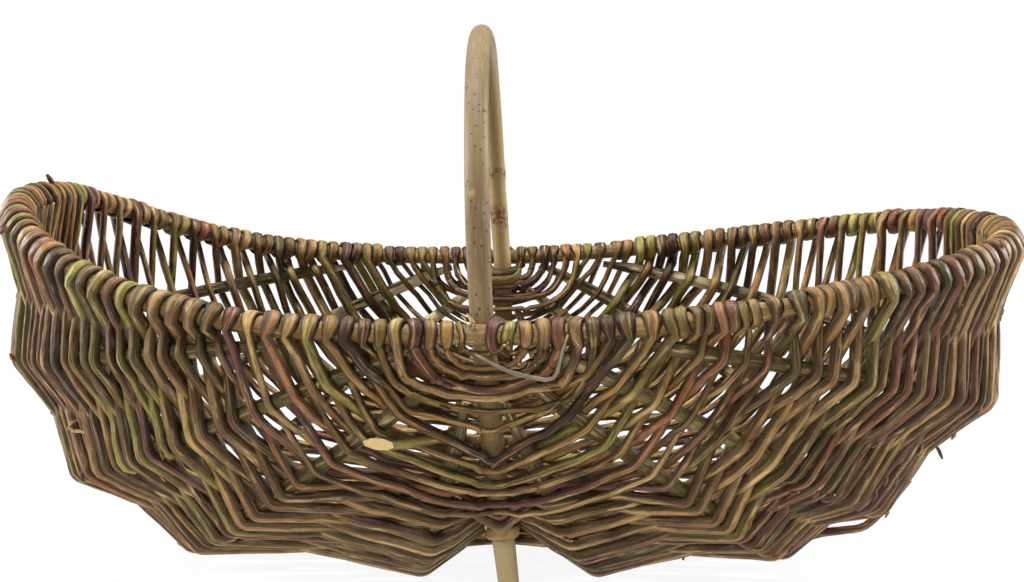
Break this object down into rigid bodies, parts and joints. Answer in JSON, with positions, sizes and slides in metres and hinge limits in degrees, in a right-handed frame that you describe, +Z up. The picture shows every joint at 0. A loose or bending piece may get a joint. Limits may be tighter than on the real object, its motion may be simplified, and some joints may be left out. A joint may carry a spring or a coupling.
{
  "type": "gathering basket",
  "caption": "Open oval frame basket of unpeeled willow rods with a saddle-shaped rim, a woven bowl and one fixed hoop handle, for gathering and carrying produce.",
  "frame": {"origin": "on the ground below the middle of the rim oval", "axes": "+X along the basket to its right end, +Y across it to the back, +Z up"},
  "size_m": [0.6263, 0.4085, 0.3368],
  "materials": {
    "rim_bark": "natural bark, matt",
    "rib_bark": "natural bark, matt",
    "handle_bark": "natural bark, matt",
    "weaver_brown": "natural bark, matt",
    "weaver_red": "natural bark, matt",
    "weaver_green": "natural bark, matt"
  },
  "bodies": {
    "root": {"rim_hoop": "rim_bark", "handle_hoop": "handle_bark", "rib_left_upper": "rib_bark", "rib_left_shoulder": "rib_bark", "rib_left_lower": "rib_bark", "rib_left_belly": "rib_bark", "rib_right_upper": "rib_bark", "rib_right_shoulder": "rib_bark", "rib_right_lower": "rib_bark", "rib_right_belly": "rib_bark", "keel_rib": "rib_bark", "front_weave_01": "weaver_brown", "front_weave_02": "weaver_red", "front_weave_03": "weaver_green", "front_weave_04": "weaver_brown", "front_weave_05": "weaver_red", "front_weave_06": "weaver_green", "front_weave_07": "weaver_brown", "front_weave_08": "weaver_red", "front_weave_09": "weaver_green", "front_weave_10": "weaver_brown", "front_weave_11": "weaver_red", "front_weave_12": "weaver_green", "front_weave_13": "weaver_brown", "front_weave_14": "weaver_red", "front_weave_15": "weaver_green", "front_weave_16": "weaver_brown", "back_weave_01": "weaver_brown", "back_weave_02": "weaver_red", "back_weave_03": "weaver_green", "back_weave_04": "weaver_brown", "back_weave_05": "weaver_red", "back_weave_06": "weaver_green", "back_weave_07": "weaver_brown", "back_weave_08": "weaver_red", "back_weave_09": "weaver_green", "back_weave_10": "weaver_brown", "back_weave_11": "weaver_red", "back_weave_12": "weaver_green", "back_weave_13": "weaver_brown", "back_weave_14": "weaver_red", "back_weave_15": "weaver_green", "back_weave_16": "weaver_brown", "front_ear_tie": "rim_bark", "front_foot_tie": "rim_bark", "back_ear_tie": "rim_bark", "back_foot_tie": "rim_bark"}
  },
  "joints": []
}
